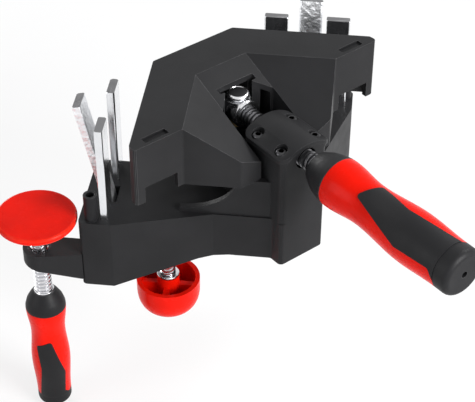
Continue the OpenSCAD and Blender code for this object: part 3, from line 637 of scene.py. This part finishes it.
# Bright rounded ring at the front of the swivel eye
def eye_ring():
    outer, _, front = span("swivel_eye", MAIN_AXES)
    inner = THREAD_R + 0.3
    profile = [(inner, front - 4), (outer + 0.1, front - 4), (outer + 0.3, front - 2.8),
               (outer + 0.1, front - 1.6), (outer - 0.6, front - 0.6), (outer - 1.6, front - 0.1),
               (inner + 0.4, front + 0.1), (inner, front - 0.2), (inner, front - 4)]
    new_piece("eye_ring", turned(profile, MAIN_AXES, 96), "swivel", "spindle_steel")


# Dark trays in the two slots of the roof: painted shade on the slot floors
def roof_slot_shade():
    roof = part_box("jaw_hood")[1].z / MM
    size = Vector((ROOF_SLOT_W - TRAY_GAP, ROOF_SLOT_LEN - TRAY_GAP, ROOF_SLOT_DEEP - TRAY_GAP))
    for side, name in ((-1, "slot_shade_tray_left"), (1, "slot_shade_tray_right")):
        middle = Vector((ROOF_SLOT_S + ROOF_SLOT_W / 2, side * (ROOF_SLOT_T + ROOF_SLOT_LEN / 2),
                         roof - ROOF_SLOT_DEEP + size.z / 2 + TRAY_LIFT))
        shape = bmesh.new()
        bmesh.ops.create_cube(shape, size=1.0)
        bmesh.ops.scale(shape, verts=shape.verts, vec=size * MM)
        top = max(shape.faces, key=lambda face: face.calc_center_median().z)
        bmesh.ops.inset_region(shape, faces=[top], thickness=TRAY_WALL * MM)
        bmesh.ops.translate(shape, verts=top.verts, vec=(0, 0, -(size.z - TRAY_WALL) * MM))
        shape.transform(DIAGONAL @ Matrix.Translation(middle * MM))
        # Dark plastic as painted shade where the slot floor lies in shadow
        new_piece(name, shape, "jaw", "black_grip")


# Arched plate on top of the nut cap, a little wider than the column below it
def cap_plate():
    shape = solid_of("nut_cap")
    shape.transform(DIAGONAL.inverted())
    ends = (min(v.co.x for v in shape.verts), max(v.co.x for v in shape.verts))
    half = max(v.co.y for v in shape.verts) - CAP_ROUND * MM
    centre = max(v.co.z for v in shape.verts) - CAP_ARCH * MM

    def on_arch(vert):
        return abs(math.hypot(vert.co.y, vert.co.z - centre) - CAP_ARCH * MM) < CAP_NEAR * MM

    others = [f for f in shape.faces if f.normal.z < CAP_FACING or not all(on_arch(v) for v in f.verts)]
    bmesh.ops.delete(shape, geom=others, context="FACES")
    for vert in shape.verts:
        inner_x = min(max(vert.co.x, ends[0] + CAP_ROUND * MM), ends[1] - CAP_ROUND * MM)
        inner_y = min(max(vert.co.y, -half), half)
        outward = Vector((vert.co.x - inner_x, vert.co.y - inner_y, 0))
        if outward.length > (CAP_ROUND - CAP_RIM) * MM:
            vert.co += outward.normalized() * CAP_LIP * MM
        vert.co.z += CAP_RAISE * MM
    lower = bmesh.ops.extrude_face_region(shape, geom=shape.faces[:])["geom"]
    lower = [part for part in lower if isinstance(part, bmesh.types.BMVert)]
    bmesh.ops.translate(shape, verts=lower, vec=(0, 0, -CAP_PLATE * MM))
    bmesh.ops.recalc_face_normals(shape, faces=shape.faces)
    round_edges(shape, CAP_EDGE_R, 2, 0.0, CAP_EDGE_SHARP)
    shape.transform(DIAGONAL)
    smooth_by_angle(shape, math.radians(SMOOTH_CAST))
    new_piece("cap_plate", shape, "frame", SLOT_OF["nut_cap"])


# Cap screws: button heads with a hexagon socket
def screw_places():
    """Axes of the four cap screws, from the corners of their CAD box along the diagonal."""
    inverse = DIAGONAL.inverted()
    points = [inverse @ v.co for v in frame["nodes"]["cap_screws"].data.vertices]
    head_r = SCREW_HEAD_R * MM
    ends = [(min(p[i] for p in points) + head_r, max(p[i] for p in points) - head_r) for i in (0, 1)]
    return [Matrix.Translation(DIAGONAL @ Vector((s, t, 0))) for s in ends[0] for t in ends[1]]


def cap_screws():
    """All four screws in one piece, each head joined to its socket."""
    shape = bmesh.new()
    heights = [v.co.z / MM for v in frame["nodes"]["cap_screws"].data.vertices]
    low = min(heights)
    top = max(heights)
    seat = top - SCREW_HEAD_T
    for axes in screw_places():
        head = [(0, low), (SCREW_R, low), (SCREW_R, seat), (SCREW_HEAD_R, seat), (SCREW_HEAD_R, top - 1.2),
                (SCREW_HEAD_R - 0.35, top - 0.45), (SCREW_HEAD_R - 1.0, top),
                (SOCKET_R + SOCKET_RIM, top)]
        socket = [(SOCKET_R, top), (SOCKET_R, top - SOCKET_DEEP), (0, top - SOCKET_DEEP)]
        screw = merge(turned(head, axes, 48), turned(socket, axes, 6))
        bmesh.ops.bridge_loops(screw, edges=[e for e in screw.edges if e.is_boundary])
        merge(shape, screw)
    piece = new_piece("cap_screw_heads", shape, "frame", SLOT_OF["cap_screws"])
    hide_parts("cap_screws")


main_spindle()
pad_spindle()
pad_ferrule()
knob_stud()
knob_washer()
swivel_pin()
eye_ring()
roof_slot_shade()
cap_plate()
cap_screws()


# Studio: pale floor, white surround, soft boxes
def seen_or_mirrored(tree):
    """One for the camera and for rays that metal and glass send on."""
    path = tree.nodes.new("ShaderNodeLightPath")
    total = path.outputs["Is Camera Ray"]
    for other in ("Is Glossy Ray", "Is Transmission Ray"):
        either = tree.nodes.new("ShaderNodeMath")
        either.operation = "MAXIMUM"
        tree.links.new(total, either.inputs[0])
        tree.links.new(path.outputs[other], either.inputs[1])
        total = either.outputs["Value"]
    return total


def whiten(tree, shader):
    """Lifts the floor towards white where it is seen: a part of the shadow stays near the object."""
    white = tree.nodes.new("ShaderNodeEmission")
    white.inputs["Color"].default_value = WHITE
    white.inputs["Strength"].default_value = 1.0
    share = tree.nodes.new("ShaderNodeMath")
    share.operation = "MULTIPLY"
    place = tree.nodes.new("ShaderNodeTexCoord")
    distance = tree.nodes.new("ShaderNodeVectorMath")
    distance.operation = "LENGTH"
    fade = tree.nodes.new("ShaderNodeMapRange")
    fade.inputs["From Min"].default_value = FLOOR_NEAR
    fade.inputs["From Max"].default_value = FLOOR_FAR
    fade.inputs["To Min"].default_value = FLOOR_WHITE
    fade.inputs["To Max"].default_value = 1.0
    tree.links.new(place.outputs["Object"], distance.inputs[0])
    tree.links.new(distance.outputs["Value"], fade.inputs["Value"])
    tree.links.new(fade.outputs["Result"], share.inputs[1])
    mix = tree.nodes.new("ShaderNodeMixShader")
    tree.links.new(seen_or_mirrored(tree), share.inputs[0])
    tree.links.new(share.outputs["Value"], mix.inputs["Fac"])
    tree.links.new(shader.outputs["BSDF"], mix.inputs[1])
    tree.links.new(white.outputs["Emission"], mix.inputs[2])
    tree.links.new(mix.outputs["Shader"], tree.nodes["Material Output"].inputs["Surface"])


def studio():
    """Pale floor just below the lowest point of the part."""
    low = cad_box[0].z - FLOOR_DROP * MM
    shape = bmesh.new()
    bmesh.ops.create_grid(shape, x_segments=1, y_segments=1, size=FLOOR_SIZE)
    bmesh.ops.translate(shape, verts=shape.verts, vec=(0, 0, low))
    mesh = bpy.data.meshes.new("floor")
    shape.to_mesh(mesh)
    shape.free()
    floor = bpy.data.objects.new("floor", mesh)
    bpy.context.scene.collection.objects.link(floor)
    mat, tree, shader = start_material("floor", FLOOR_GREY, 0.7)
    shader.inputs["Specular IOR Level"].default_value = 0.1
    whiten(tree, shader)
    mesh.materials.append(mat)


def surround():
    """White for the camera, reflections and refractions, grey for lighting."""
    world = bpy.data.worlds.new("studio")
    bpy.context.scene.world = world
    world.use_nodes = True
    tree = world.node_tree
    tree.nodes.clear()
    output = tree.nodes.new("ShaderNodeOutputWorld")
    lit = tree.nodes.new("ShaderNodeBackground")
    lit.inputs["Color"].default_value = SKY_COLOR
    lit.inputs["Strength"].default_value = SKY_LIGHT
    seen = tree.nodes.new("ShaderNodeBackground")
    seen.inputs["Color"].default_value = WHITE
    seen.inputs["Strength"].default_value = 1.0
    mix = tree.nodes.new("ShaderNodeMixShader")
    tree.links.new(seen_or_mirrored(tree), mix.inputs["Fac"])
    tree.links.new(lit.outputs["Background"], mix.inputs[1])
    tree.links.new(seen.outputs["Background"], mix.inputs[2])
    tree.links.new(mix.outputs["Shader"], output.inputs["Surface"])


def soft_box(name, at, size, power):
    """Rectangular lamp that points at the middle of the part."""
    light = bpy.data.lights.new(name, "AREA")
    light.shape = "RECTANGLE"
    light.size, light.size_y = size
    light.energy = power
    lamp = bpy.data.objects.new(name, light)
    lamp.location = at
    lamp.rotation_euler = (Vector(AIM) - Vector(at)).to_track_quat("-Z", "Y").to_euler()
    bpy.context.scene.collection.objects.link(lamp)


def camera():
    """Camera at the photo's angle, from the fitted place and turn."""
    azimuth = math.radians(CAMERA_AZIMUTH)
    elevation = math.radians(CAMERA_ELEVATION)
    back = Vector((math.sin(azimuth) * math.cos(elevation), -math.cos(azimuth) * math.cos(elevation),
                   math.sin(elevation)))
    right = (-back).cross(Vector((0, 0, 1))).normalized()
    up = right.cross(-back)
    turn = Matrix((right, up, back)).transposed() @ Matrix.Rotation(math.radians(CAMERA_ROLL), 3, "Z")
    data = bpy.data.cameras.new("camera")
    data.sensor_fit = "HORIZONTAL"
    data.sensor_width = SENSOR_W
    data.lens = CAMERA_FOCAL_PX / PHOTO_W * SENSOR_W
    data.clip_start = 0.05
    eye = bpy.data.objects.new("camera", data)
    eye.matrix_world = Matrix.Translation(Vector(CAMERA_AT) * MM) @ turn.to_4x4()
    bpy.context.scene.collection.objects.link(eye)
    bpy.context.scene.camera = eye


studio()
surround()
for lamp_name, at, size, power in LAMPS:
    soft_box(lamp_name, at, size, power)
camera()
bpy.context.scene.view_settings.view_transform = "Standard"
